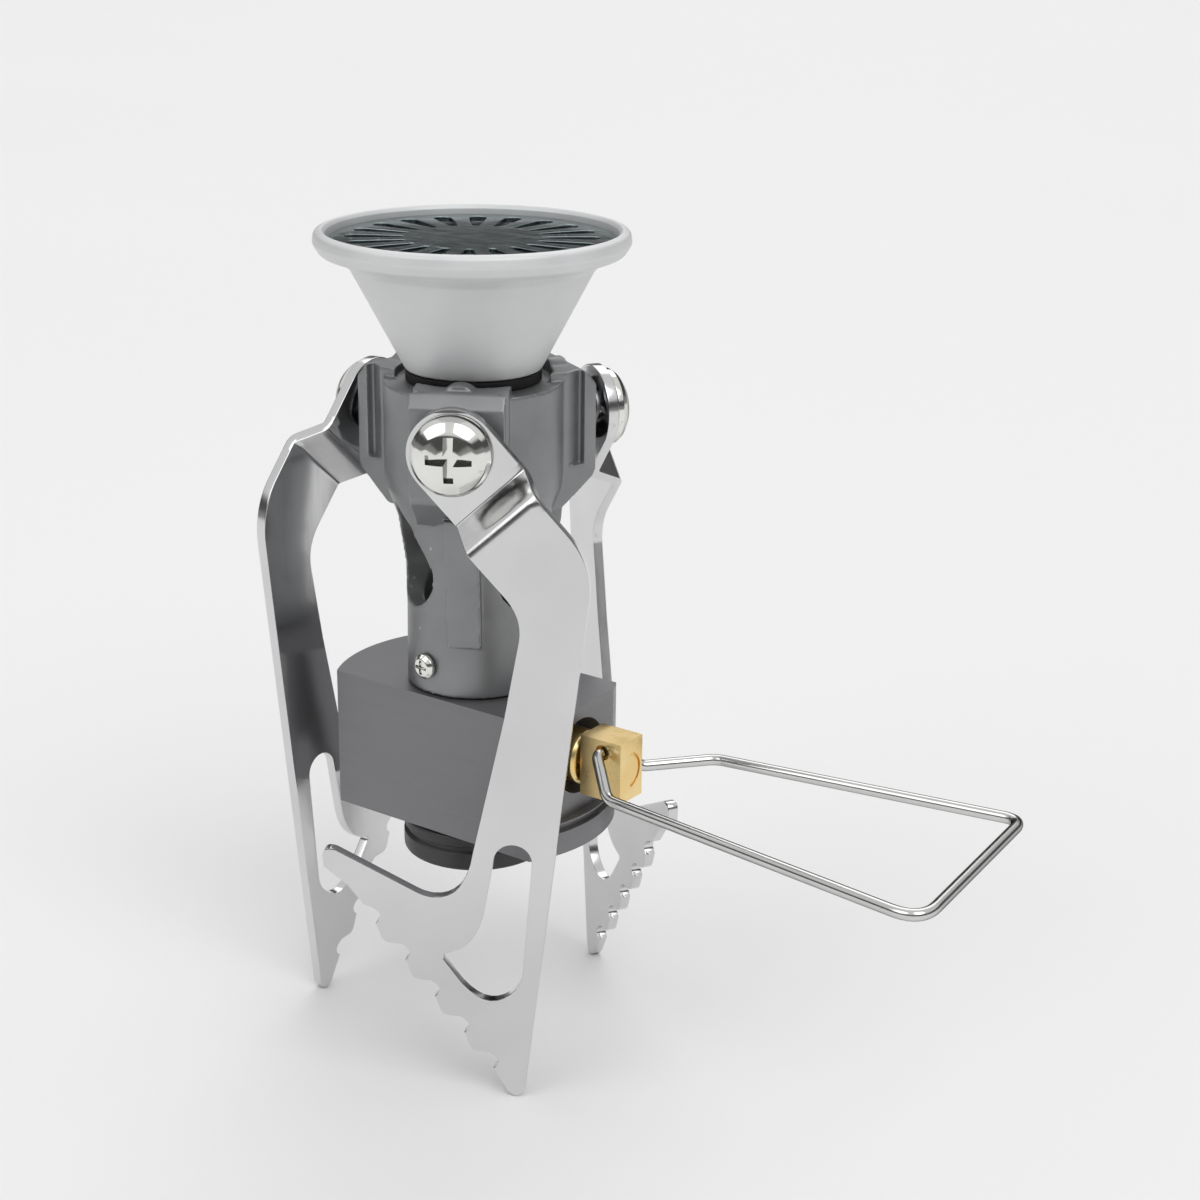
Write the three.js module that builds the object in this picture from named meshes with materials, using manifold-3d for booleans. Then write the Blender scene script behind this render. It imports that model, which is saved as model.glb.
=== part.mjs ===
// Screw-on canister stove with three fold-down pot supports and a wire valve handle.
// Units are millimetres and +Z is up. The origin is the centre of the collar's lower face,
// where the gas canister screws on. +X runs along the valve spindle towards the wire handle.
import * as THREE from 'three';
import { mergeVertices } from 'three/addons/utils/BufferGeometryUtils.js';
import Module from 'manifold-3d';

const wasm = await Module();
wasm.setup();

// ---------- driving dimensions ----------
const ARM_AZIMUTHS = [-60, 60, 180];
const AIR_HOLE_AZIMUTHS = [-120, 0, 120];
const GAP = 0.3;

const COLLAR_RADIUS = 10.1;
const COLLAR_HEIGHT = 4.9;
const COLLAR_NECK_RADIUS = 8.6;
const COLLAR_TOP = 10.2;
const THREAD_RADIUS = 5.6;
const THREAD_DEPTH = 7.2;

const BLOCK_RADIUS = 19.2;
const BLOCK_HALF_WIDTH = 9.7;
const BLOCK_BOTTOM = 5.1;
const BLOCK_TOP = 24.5;
const BLOCK_CHAMFER = 0.6;
const END_FLAT_X = 17.8;
const END_FLAT_BOTTOM = 9.6;
const SPINDLE_Z = 17.4;
const PORT_RADIUS = 5.2;
const PASSAGE_RADIUS = 1.6;
const GLAND_RADIUS = 3.7;
const GLAND_BORE = 1.9;
const SPINDLE_RADIUS = 1.6;

const TUBE_BOTTOM = 24.8;
const TUBE_RADIUS = 9.2;
const TUBE_BORE = 6.8;
const HEAD_RADIUS = 11.8;
const HEAD_TOP = 66.0;
const ARM_TOP = 67.2;
const PAD_RADIUS = 14.8;
const PAD_HALF_WIDTH = 6.1;
const PAD_BOTTOM = 52.9;
const PIVOT_Z = 60.6;
const SOCKET_RADIUS = 8.4;
const SOCKET_FLOOR = 59.0;
const SEAT_RADIUS = 10.2;
const ARM_BOTTOM = 48.8;
const RIB_BOTTOM = 32;
const RIB_HALF_WIDTH = 2.2;
const HUMP_RADIUS = 2.6;
const POCKET_DEPTH = 1.3;
const POCKET_INNER = 10.4;
const POCKET_OUTER = 13.1;
const AIR_HOLE_RADIUS = 5.1;
const AIR_HOLE_Z = 41.2;
const AIR_HOLE_TIP = 50.6;
const TUBE_SCREW_Z = 28.6;
const TUBE_SCREW_AZIMUTH = -96;

const CUP_BOTTOM = 67.6;
const CUP_BASE_RADIUS = 8.9;
const LIP_RADIUS = 20.4;
const LIP_TOP = 85.7;
const PLATE_RADIUS = 18.3;
const PLATE_TOP = 84.5;
const PLATE_THICKNESS = 0.8;
const PLATE_SLOTS = 20;

const SHEET = 1.5;
const SHEET_INNER = 16.8;
const JOGGLE = 4.6;
const JOGGLE_START = 7.4;
const JOGGLE_END = 10.6;
const LEG_ANGLE = THREE.MathUtils.degToRad(-48);
const LEG_HALF_WIDTH = 5.8;
const TOOTH_STEP = new THREE.Vector2(-3.87, 5.13);
const TOOTH_COUNT = 4;

const SCREW_HEAD_RADIUS = 5.1;
const SCREW_HEAD_BASE = 18.6;
const SCREW_SHANK_RADIUS = 1.7;

const KNOB_BACK_X = 19.5;
const KNOB_FRONT_X = 25.9;
const KNOB_HALF_WIDTH = 2.5;
const KNOB_HALF_HEIGHT = 4.2;
const HANDLE_X = 23.0;
const HANDLE_RISE = 2.5;
const HANDLE_DROP = 4.0;
const REST_FOLD = THREE.MathUtils.degToRad(-2);
const WIRE_RADIUS = 0.75;
const BEND_STEPS = 4;

// ---------- materials ----------
function paint(hex, roughness, metalness) {
  return new THREE.MeshStandardMaterial({ color: hex, roughness, metalness });
}
const castGrey = paint(0x84868a, 0.55, 0.6);
const blockGrey = paint(0x606063, 0.5, 0.6);
const cupGrey = paint(0xc2c4c6, 0.6, 0.5);
const plateSteel = paint(0x5a6a70, 0.35, 0.9);
const stainless = paint(0xd4d6d8, 0.3, 1.0);
const nickel = paint(0xe4e4e2, 0.2, 1.0);
const brass = paint(0xd8b060, 0.3, 1.0);
const blackRubber = paint(0x161616, 0.8, 0.0);
const darkSteel = paint(0x37373a, 0.5, 0.9);

// ---------- solid helpers ----------
function solid(geometry) {
  const plain = geometry.index ? geometry.toNonIndexed() : geometry.clone();
  plain.deleteAttribute('normal');
  plain.deleteAttribute('uv');
  const merged = mergeVertices(plain, 1e-5);
  const vertProperties = new Float32Array(merged.attributes.position.array);
  const triVerts = new Uint32Array(merged.index.array);
  return new wasm.Manifold(new wasm.Mesh({ numProp: 3, vertProperties, triVerts }));
}

function bare(body) {
  const raw = body.getMesh();
  const geometry = new THREE.BufferGeometry();
  geometry.setAttribute('position', new THREE.BufferAttribute(new Float32Array(raw.vertProperties), 3));
  geometry.setIndex(new THREE.BufferAttribute(new Uint32Array(raw.triVerts), 1));
  return geometry;
}

function part(name, body, material, azimuth = 0) {
  const geometry = bare(body);
  geometry.computeVertexNormals();
  const mesh = new THREE.Mesh(geometry, material);
  mesh.name = name;
  mesh.rotation.z = THREE.MathUtils.degToRad(azimuth);
  return mesh;
}

// A profile of [radius, height] pairs turned about +Z. It closes on itself or starts on the axis.
function turned(profile, segments = 28) {
  const points = profile.map(([radius, height]) => new THREE.Vector2(radius, height));
  const geometry = new THREE.LatheGeometry(points, segments);
  geometry.rotateX(Math.PI / 2);
  return geometry;
}

function ring(inner, outer, bottom, top, segments = 20) {
  return turned([[inner, bottom], [outer, bottom], [outer, top], [inner, top], [inner, bottom]], segments);
}

function rod(radius, bottom, top, segments = 16) {
  return turned([[0, bottom], [radius, bottom], [radius, top], [0, top]], segments);
}

// Turns a geometry made along +Z so that it runs outward along +X at the given height.
function alongX(geometry, height) {
  return geometry.rotateY(Math.PI / 2).translate(0, 0, height);
}

function box(lowX, highX, lowY, highY, lowZ, highZ) {
  const geometry = new THREE.BoxGeometry(highX - lowX, highY - lowY, highZ - lowZ);
  return geometry.translate((lowX + highX) / 2, (lowY + highY) / 2, (lowZ + highZ) / 2);
}

// Extrudes a shape drawn in (tangent, height) coordinates outward from low to high along +X.
function outward(shape, low, high, curveSegments = 6) {
  const geometry = new THREE.ExtrudeGeometry(shape, {
    depth: high - low,
    bevelEnabled: false,
    curveSegments,
  });
  const basis = new THREE.Matrix4().makeBasis(
    new THREE.Vector3(0, 1, 0),
    new THREE.Vector3(0, 0, 1),
    new THREE.Vector3(1, 0, 0),
  );
  return geometry.applyMatrix4(basis).translate(low, 0, 0);
}

function turnTo(geometry, azimuth) {
  return geometry.rotateZ(THREE.MathUtils.degToRad(azimuth));
}

// ---------- canister coupling ----------
function canisterCollar() {
  const rim = 0.5;
  return solid(turned([
    [THREAD_RADIUS + rim, 0], [COLLAR_RADIUS - rim, 0], [COLLAR_RADIUS, rim],
    [COLLAR_RADIUS, COLLAR_HEIGHT], [COLLAR_NECK_RADIUS, COLLAR_HEIGHT],
    [COLLAR_NECK_RADIUS, COLLAR_TOP], [PASSAGE_RADIUS, COLLAR_TOP], [PASSAGE_RADIUS, THREAD_DEPTH + 1.6],
    [3.4, THREAD_DEPTH + 1.6], [3.4, THREAD_DEPTH], [THREAD_RADIUS, THREAD_DEPTH],
    [THREAD_RADIUS, rim], [THREAD_RADIUS + rim, 0],
  ]));
}

function canisterSeal() {
  return solid(ring(2.0, 4.9, THREAD_DEPTH - 1.6, THREAD_DEPTH - 0.2));
}

function valvePin() {
  const tip = THREAD_DEPTH - 2.6;
  return solid(turned([
    [0, tip], [0.9, tip], [1.1, tip + 0.3], [1.1, THREAD_DEPTH + 0.2],
    [2.9, THREAD_DEPTH + 0.2], [2.9, THREAD_DEPTH + 1.2], [0, THREAD_DEPTH + 1.2],
  ], 16));
}

function filterScreen() {
  return solid(rod(3.0, COLLAR_TOP + 0.2, COLLAR_TOP + 0.6));
}

// ---------- valve body ----------
function valveBody() {
  const c = BLOCK_CHAMFER;
  let body = solid(turned([
    [0, BLOCK_BOTTOM], [BLOCK_RADIUS - c, BLOCK_BOTTOM], [BLOCK_RADIUS, BLOCK_BOTTOM + c],
    [BLOCK_RADIUS, BLOCK_TOP - c], [BLOCK_RADIUS - c, BLOCK_TOP], [0, BLOCK_TOP],
  ], 64));
  const w = BLOCK_HALF_WIDTH;
  const flats = new THREE.Shape([
    new THREE.Vector2(-w, BLOCK_BOTTOM - 1), new THREE.Vector2(w, BLOCK_BOTTOM - 1),
    new THREE.Vector2(w, BLOCK_TOP - c), new THREE.Vector2(w - c - 0.1, BLOCK_TOP + 0.1),
    new THREE.Vector2(-w + c + 0.1, BLOCK_TOP + 0.1), new THREE.Vector2(-w, BLOCK_TOP - c),
  ]);
  body = body.intersect(solid(outward(flats, -30, 30)));
  body = body.subtract(solid(box(END_FLAT_X, 30, -30, 30, END_FLAT_BOTTOM, 40)));
  const groove = ring(BLOCK_RADIUS - 0.8, 40, END_FLAT_BOTTOM - 1.4, END_FLAT_BOTTOM - 0.2, 64);
  const grooveSide = solid(groove).intersect(solid(box(0, 40, -30, 30, 0, 20)));
  body = body.subtract(grooveSide);
  body = body.subtract(solid(rod(COLLAR_NECK_RADIUS + GAP, 0, COLLAR_TOP + 0.9, 28)));
  body = body.subtract(solid(rod(PASSAGE_RADIUS, COLLAR_TOP, 22)));
  body = body.subtract(solid(rod(2.7, 19.8, 30)));
  body = body.subtract(solid(alongX(rod(PORT_RADIUS, 13.6, 30, 28), SPINDLE_Z)));
  body = body.subtract(solid(alongX(rod(4.1, 8.0, 14, 20), SPINDLE_Z)));
  body = body.subtract(solid(alongX(rod(3.5, 4.6, 9, 20), SPINDLE_Z)));
  body = body.subtract(solid(alongX(rod(2.1, -1.2, 5), SPINDLE_Z)));
  const vent = alongX(rod(1.1, -30, -16, 12), SPINDLE_Z - 2.6);
  return body.subtract(solid(vent));
}

function gasJet() {
  const hexTop = BLOCK_TOP + 2.4;
  const stem = solid(turned([
    [0.4, 20.2], [2.3, 20.2], [2.3, BLOCK_TOP + 0.2], [2.3, hexTop], [1.2, hexTop + 0.9],
    [0.4, hexTop + 0.9], [0.4, 20.2],
  ], 12));
  const hex = ring(0.4, 3.7, BLOCK_TOP + 0.3, hexTop - 0.2, 6);
  return stem.add(solid(hex));
}

// ---------- spindle and handle ----------
function glandNut() {
  const groove = 15.4;
  return solid(alongX(turned([
    [GLAND_BORE, 8.3], [GLAND_RADIUS, 8.3], [GLAND_RADIUS, groove], [GLAND_RADIUS - 0.4, groove + 0.3],
    [GLAND_RADIUS - 0.4, groove + 0.9], [GLAND_RADIUS, groove + 1.2], [GLAND_RADIUS, 18.7],
    [GLAND_RADIUS - 0.4, 19.1], [GLAND_BORE, 19.1], [GLAND_BORE, 8.3],
  ], 20), SPINDLE_Z));
}

function spindleRing() {
  return solid(alongX(ring(GLAND_BORE, 3.2, 5.4, 7.2), SPINDLE_Z));
}

function valveSpindle() {
  return solid(alongX(turned([
    [0, 1.9], [0.3, 2.0], [SPINDLE_RADIUS, 4.6], [SPINDLE_RADIUS, KNOB_BACK_X + 1.0],
    [0, KNOB_BACK_X + 1.0],
  ], 16), SPINDLE_Z));
}

// The knob block is drawn about the spindle's axis.
function knobBlock() {
  const w = KNOB_HALF_WIDTH;
  const h = KNOB_HALF_HEIGHT;
  const c = 0.5;
  const face = new THREE.Shape([
    new THREE.Vector2(-w + c, -h), new THREE.Vector2(w - c, -h), new THREE.Vector2(w, -h + c),
    new THREE.Vector2(w, h - c), new THREE.Vector2(w - c, h), new THREE.Vector2(-w + c, h),
    new THREE.Vector2(-w, h - c), new THREE.Vector2(-w, -h + c),
  ]);
  let block = solid(outward(face, KNOB_BACK_X, KNOB_FRONT_X));
  block = block.subtract(solid(alongX(rod(GLAND_BORE, KNOB_BACK_X - 1, KNOB_BACK_X + 1.3), 0)));
  const hinge = rod(WIRE_RADIUS + GAP, -10, 10).rotateX(Math.PI / 2);
  return block.subtract(solid(hinge.translate(HANDLE_X, 0, HANDLE_RISE)));
}

// The handle is one bent wire whose two ends turn in towards each other in the knob's cross hole.
// It is drawn about that hole, with the loop lying below it.
function wireHandle() {
  const stub = 1.1;
  const neck = KNOB_HALF_WIDTH + 1.2;
  const low = -HANDLE_DROP;
  const corners = [
    [0, -stub, 0, 0], [0, -neck, 0, 1.0], [4.1, -7.3, low, 2.0], [54.0, -16.4, low, 3.6],
    [51.2, 15.7, low, 2.6], [8.2, 12.1, low, 2.0], [0.9, neck + 0.6, low, 1.4],
    [0, neck, 0, 1.0], [0, stub, 0, 0],
  ];
  const loop = corners.map(([x, y, z]) => new THREE.Vector3(x, y, z));
  const points = [loop[0]];
  for (let i = 1; i < loop.length - 1; i += 1) {
    const reach = corners[i][3];
    const start = loop[i].clone().add(loop[i - 1].clone().sub(loop[i]).setLength(reach));
    const end = loop[i].clone().add(loop[i + 1].clone().sub(loop[i]).setLength(reach));
    points.push(...new THREE.QuadraticBezierCurve3(start, loop[i], end).getPoints(BEND_STEPS));
  }
  points.push(loop[loop.length - 1]);
  const section = new THREE.Shape();
  section.absarc(0, 0, WIRE_RADIUS, 0, Math.PI * 2, false);
  return solid(new THREE.ExtrudeGeometry(section, {
    steps: points.length - 1,
    curveSegments: 5,
    extrudePath: new Polyline(points),
  }));
}

// A path that visits its points one per step, with the tangent shared between neighbours.
class Polyline extends THREE.Curve {
  constructor(points) {
    super();
    this.points = points;
  }

  getPoint(t) {
    const place = t * (this.points.length - 1);
    const i = Math.min(Math.floor(place), this.points.length - 2);
    return this.points[i].clone().lerp(this.points[i + 1], place - i);
  }

  getPointAt(t) {
    return this.getPoint(t);
  }

  getTangentAt(t) {
    const i = Math.round(t * (this.points.length - 1));
    const before = this.points[Math.max(i - 1, 0)];
    const after = this.points[Math.min(i + 1, this.points.length - 1)];
    return after.clone().sub(before).normalize();
  }
}

// ---------- bracket casting with mixing tube ----------
function teardrop(centre, radius, tip) {
  const shape = new THREE.Shape();
  const lean = Math.acos(radius / (tip - centre));
  shape.moveTo(0, tip);
  shape.absarc(0, centre, radius, Math.PI / 2 + lean, Math.PI * 2.5 - lean, false);
  shape.closePath();
  return shape;
}

function armProfile() {
  return new THREE.Shape([
    new THREE.Vector2(0, ARM_TOP), new THREE.Vector2(0, ARM_BOTTOM), new THREE.Vector2(9.9, ARM_BOTTOM),
    new THREE.Vector2(PAD_RADIUS - 0.4, PAD_BOTTOM), new THREE.Vector2(PAD_RADIUS, PAD_BOTTOM + 0.8),
    new THREE.Vector2(PAD_RADIUS, ARM_TOP - 1.8), new THREE.Vector2(PAD_RADIUS - 1.5, ARM_TOP),
  ]);
}

// The stiffening rib under each arm runs down the tube and tapers into it.
function ribProfile() {
  return new THREE.Shape([
    new THREE.Vector2(0, 50), new THREE.Vector2(0, RIB_BOTTOM), new THREE.Vector2(9.7, RIB_BOTTOM),
    new THREE.Vector2(9.9, RIB_BOTTOM + 1), new THREE.Vector2(10.4, 40), new THREE.Vector2(11.6, 46),
    new THREE.Vector2(12.1, 50),
  ]);
}

// Extrudes a profile drawn in (radius, height) sideways, centred on the arm.
function sideways(shape, halfWidth) {
  const geometry = new THREE.ExtrudeGeometry(shape, { depth: 2 * halfWidth, bevelEnabled: false });
  return geometry.rotateX(Math.PI / 2).translate(0, halfWidth, 0);
}

// A wedge-shaped pocket in an arm's side, open at the top and deepest behind the pad.
function sidePocket(side) {
  const wedge = new THREE.Shape([
    new THREE.Vector2(POCKET_INNER, side * (PAD_HALF_WIDTH + 0.2)),
    new THREE.Vector2(POCKET_OUTER, side * (PAD_HALF_WIDTH + 0.2)),
    new THREE.Vector2(POCKET_OUTER, side * (PAD_HALF_WIDTH - POCKET_DEPTH)),
  ]);
  const geometry = new THREE.ExtrudeGeometry(wedge, { depth: 30, bevelEnabled: false });
  return geometry.translate(0, 0, PAD_BOTTOM + 1.7);
}

function supportBracket() {
  let body = solid(turned([
    [0, TUBE_BOTTOM], [TUBE_RADIUS, TUBE_BOTTOM], [TUBE_RADIUS - 0.1, 36], [10.0, 47.5],
    [HEAD_RADIUS - 0.2, 52], [HEAD_RADIUS, 54], [HEAD_RADIUS, HEAD_TOP], [0, HEAD_TOP],
  ], 40));
  for (const azimuth of ARM_AZIMUTHS) {
    const arm = solid(turnTo(sideways(armProfile(), PAD_HALF_WIDTH), azimuth));
    const rib = solid(turnTo(sideways(ribProfile(), RIB_HALF_WIDTH), azimuth));
    const hump = alongX(rod(HUMP_RADIUS, 9, 12.6, 12), ARM_TOP - 1.8);
    body = body.add(arm).add(rib).add(solid(turnTo(hump, azimuth)));
  }
  for (const azimuth of ARM_AZIMUTHS) {
    for (const side of [-1, 1]) {
      body = body.subtract(solid(turnTo(sidePocket(side), azimuth)));
    }
  }
  body = body.subtract(solid(rod(TUBE_BORE, TUBE_BOTTOM - 5, SOCKET_FLOOR + 1, 24)));
  body = body.subtract(solid(rod(SOCKET_RADIUS, SOCKET_FLOOR, 90, 28)));
  body = body.subtract(solid(rod(SEAT_RADIUS, HEAD_TOP, 90, 28)));
  for (const azimuth of AIR_HOLE_AZIMUTHS) {
    const hole = outward(teardrop(AIR_HOLE_Z, AIR_HOLE_RADIUS, AIR_HOLE_TIP), 0.5, 14, 10);
    body = body.subtract(solid(turnTo(hole, azimuth)));
  }
  for (const azimuth of ARM_AZIMUTHS) {
    const hole = alongX(rod(SCREW_SHANK_RADIUS + GAP, 9.6, 30), PIVOT_Z);
    body = body.subtract(solid(turnTo(hole, azimuth)));
  }
  return body.subtract(solid(turnTo(alongX(rod(1.2, 3, 30, 12), TUBE_SCREW_Z), TUBE_SCREW_AZIMUTH)));
}

function phillipsCut(reach, width, low, high) {
  const across = box(-reach, reach, -width, width, low, high);
  const down = box(-width, width, -reach, reach, low, high);
  return solid(across).add(solid(down));
}

function tubeScrew() {
  const head = TUBE_RADIUS + 0.2;
  const screw = solid(turned([
    [0, 7.3], [0.9, 7.3], [0.9, head], [1.7, head], [1.7, head + 0.4], [1.2, head + 0.9], [0, head + 1.1],
  ], 12));
  const cut = phillipsCut(1.0, 0.22, head + 0.4, head + 3);
  return solid(alongX(bare(screw.subtract(cut)), TUBE_SCREW_Z));
}

// ---------- burner ----------
function burnerCup() {
  const wall = 1.4;
  const bore = 7.0;
  const spigot = SOCKET_RADIUS - GAP;
  const shoulder = 15.8;
  return solid(turned([
    [bore, SOCKET_FLOOR + 0.4], [spigot, SOCKET_FLOOR + 0.4], [spigot, CUP_BOTTOM],
    [CUP_BASE_RADIUS, CUP_BOTTOM], [shoulder, 80.6], [16.5, 81.5], [18.6, 82.5], [19.9, 83.1],
    [LIP_RADIUS, 84.0], [LIP_RADIUS - 0.1, 84.9], [LIP_RADIUS - 0.6, 85.5], [19.3, LIP_TOP],
    [18.8, 85.4], [18.7, 83.5], [17.6, 83.2], [15.2, 82.2], [shoulder - wall, 80.9],
    [CUP_BASE_RADIUS - wall, CUP_BOTTOM + 0.7], [bore, CUP_BOTTOM - 0.5], [bore, SOCKET_FLOOR + 0.4],
  ], 44));
}

function neckRing() {
  return solid(ring(SOCKET_RADIUS - 0.15, CUP_BASE_RADIUS, HEAD_TOP + 0.1, CUP_BOTTOM - 0.15, 28));
}

function flamePlate() {
  const disc = new THREE.Shape();
  disc.absarc(0, 0, PLATE_RADIUS, 0, Math.PI * 2, false);
  for (let i = 0; i < PLATE_SLOTS; i += 1) {
    disc.holes.push(swirlSlot((i * 2 * Math.PI) / PLATE_SLOTS));
  }
  const geometry = new THREE.ExtrudeGeometry(disc, {
    depth: PLATE_THICKNESS,
    bevelEnabled: false,
    curveSegments: 22,
  });
  return solid(geometry.translate(0, 0, PLATE_TOP - PLATE_THICKNESS));
}

function swirlSlot(angle) {
  const axis = new THREE.Vector2();
  const polar = (radius, turn) => new THREE.Vector2(radius, 0).rotateAround(axis, angle + turn);
  const half = 0.075;
  return new THREE.Path([
    polar(9.0, -0.05), polar(12.0, -half), polar(15.8, -half), polar(16.5, 0),
    polar(15.8, half), polar(12.0, half), polar(9.0, 0.05), polar(8.6, 0),
  ]);
}

// ---------- pot supports ----------
// The flat outline is drawn about the pivot, seen from outside: x to the right and y up.
function supportOutline() {
  const shape = new THREE.Shape();
  const across = LEG_ANGLE + Math.PI / 2;
  shape.absarc(0, 0, LEG_HALF_WIDTH, across, across + Math.PI, false);
  shape.lineTo(6.9, -16.5);
  shape.quadraticCurveTo(9.4, -19.2, 8.9, -22.4);
  shape.lineTo(7.0, -33.0);
  shape.lineTo(2.9, -51.8);
  shape.quadraticCurveTo(1.9, -58.4, -2.4, -58.2);
  shape.quadraticCurveTo(-3.6, -58.1, -4.7, -57.5);
  shape.lineTo(-15.0, -52.2);
  shape.quadraticCurveTo(-16.7, -51.6, -16.8, -53.2);
  shape.lineTo(-16.7, -54.7);
  shape.lineTo(-13.6, -57.2);
  shape.lineTo(-11.6, -59.8);
  const corner = new THREE.Vector2(-10.2, -61.6);
  for (let i = 0; i <= TOOTH_COUNT; i += 1) {
    addNotch(shape, corner, i < TOOTH_COUNT);
    corner.sub(TOOTH_STEP);
  }
  shape.lineTo(7.3, -86.2);
  shape.quadraticCurveTo(8.9, -88.2, 9.7, -85.8);
  shape.lineTo(17.6, -17.4);
  shape.quadraticCurveTo(18.3, -12.0, 14.7, -8.1);
  shape.closePath();
  shape.holes.push(bootSlot());
  return shape;
}

// One tooth: down its upper face into a small rounded bite, then along the next flat crest.
function addNotch(shape, corner, hasCrest) {
  const { x, y } = corner;
  shape.lineTo(x - 0.3, y + 1.4);
  shape.quadraticCurveTo(x + 1.7, y + 0.3, x + 0.2, y - 0.9);
  if (hasCrest) {
    shape.lineTo(x + 0.8, y - 2.5);
    shape.quadraticCurveTo(x + 1.1, y - 3.5, x + 1.9, y - 3.6);
  }
}

function bootSlot() {
  const slot = new THREE.Path();
  slot.moveTo(10.6, -52.8);
  slot.absarc(8.1, -52.8, 2.5, 0, Math.PI - 0.2, false);
  slot.lineTo(4.4, -59.6);
  slot.quadraticCurveTo(3.5, -65.6, -1.1, -66.5);
  slot.lineTo(-1.0, -67.3);
  slot.lineTo(1.4, -70.6);
  slot.quadraticCurveTo(5.2, -75.0, 8.6, -71.0);
  slot.quadraticCurveTo(9.3, -70.0, 9.4, -68.6);
  slot.closePath();
  return slot;
}

// The joggle's section in (distance along the leg, radius): inner face out and outer face back.
function joggleSection() {
  const low = SHEET_INNER;
  const high = SHEET_INNER + JOGGLE;
  return new THREE.Shape([
    new THREE.Vector2(-10, low), new THREE.Vector2(JOGGLE_START, low),
    new THREE.Vector2(JOGGLE_START + 0.6, low + 0.35), new THREE.Vector2(JOGGLE_END - 0.2, high - 0.4),
    new THREE.Vector2(JOGGLE_END + 0.5, high), new THREE.Vector2(90, high),
    new THREE.Vector2(90, high + SHEET), new THREE.Vector2(JOGGLE_END, high + SHEET),
    new THREE.Vector2(JOGGLE_END - 0.7, high + SHEET - 0.4),
    new THREE.Vector2(JOGGLE_START - 0.4, low + SHEET + 0.4),
    new THREE.Vector2(JOGGLE_START - 1.0, low + SHEET), new THREE.Vector2(-10, low + SHEET),
  ]);
}

function potSupport() {
  const blank = outward(supportOutline(), SHEET_INNER - 2, SHEET_INNER + JOGGLE + 4, 4);
  const section = new THREE.ExtrudeGeometry(joggleSection(), { depth: 240, bevelEnabled: false });
  section.translate(0, 0, -120);
  const alongLeg = new THREE.Vector3(0, Math.cos(LEG_ANGLE), Math.sin(LEG_ANGLE));
  const outwards = new THREE.Vector3(1, 0, 0);
  const acrossLeg = new THREE.Vector3().crossVectors(alongLeg, outwards);
  section.applyMatrix4(new THREE.Matrix4().makeBasis(alongLeg, outwards, acrossLeg));
  const bore = alongX(rod(SCREW_SHANK_RADIUS + GAP, 0, 40), 0);
  const sheet = solid(blank).intersect(solid(section)).subtract(solid(bore));
  return solid(bare(sheet).translate(0, 0, PIVOT_Z));
}

function waveWasher() {
  return solid(alongX(ring(SCREW_SHANK_RADIUS + GAP, 4.2, PAD_RADIUS + GAP, SHEET_INNER - GAP), PIVOT_Z));
}

function pivotScrew() {
  const base = SCREW_HEAD_BASE;
  const r = SCREW_HEAD_RADIUS;
  const screw = solid(turned([
    [0, 10.2], [1.4, 10.2], [SCREW_SHANK_RADIUS, 10.6], [SCREW_SHANK_RADIUS, base], [r, base],
    [r, base + 0.7], [r - 0.5, base + 1.5], [r - 1.7, base + 2.3], [1.5, base + 2.9], [0, base + 3.0],
  ], 20));
  const cut = phillipsCut(2.9, 0.6, base + 1.3, base + 5);
  return solid(alongX(bare(screw.subtract(cut)), PIVOT_Z));
}

// ---------- assembly ----------
const stove = new THREE.Group();
stove.add(part('canister_collar', canisterCollar(), darkSteel));
stove.add(part('canister_seal', canisterSeal(), blackRubber));
stove.add(part('valve_pin', valvePin(), brass));
stove.add(part('filter_screen', filterScreen(), brass));
stove.add(part('valve_body', valveBody(), blockGrey));
stove.add(part('gas_jet', gasJet(), brass));
stove.add(part('gland_nut', glandNut(), brass));
stove.add(part('spindle_o_ring', spindleRing(), blackRubber));
stove.add(part('valve_spindle', valveSpindle(), brass));
const knob = new THREE.Group();
knob.position.z = SPINDLE_Z;
knob.add(part('knob_block', knobBlock(), brass));
const handle = new THREE.Group();
handle.position.set(HANDLE_X, 0, HANDLE_RISE);
handle.rotation.y = REST_FOLD;
handle.add(part('wire_handle', wireHandle(), stainless));
knob.add(handle);
stove.add(knob);
stove.add(part('support_bracket', supportBracket(), castGrey));
stove.add(part('tube_screw', tubeScrew(), nickel, TUBE_SCREW_AZIMUTH));
stove.add(part('neck_ring', neckRing(), blackRubber));
stove.add(part('burner_cup', burnerCup(), cupGrey));
stove.add(part('flame_plate', flamePlate(), plateSteel));
ARM_AZIMUTHS.forEach((azimuth, index) => {
  stove.add(part(`pot_support_${index + 1}`, potSupport(), stainless, azimuth));
  stove.add(part(`wave_washer_${index + 1}`, waveWasher(), darkSteel, azimuth));
  stove.add(part(`pivot_screw_${index + 1}`, pivotScrew(), nickel, azimuth));
});

export default stove;
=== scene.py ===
"""Looks for the canister stove: fine, bevelled pieces and procedural materials around the CAD frame.

Sizes are in millimetres, in the CAD model's frame, and turned to metres as each mesh is made.
+Z is up through the burner and +X runs along the valve spindle towards the wire handle.
"""
import math

import bmesh
import bpy
from mathutils import Matrix, Vector


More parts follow.
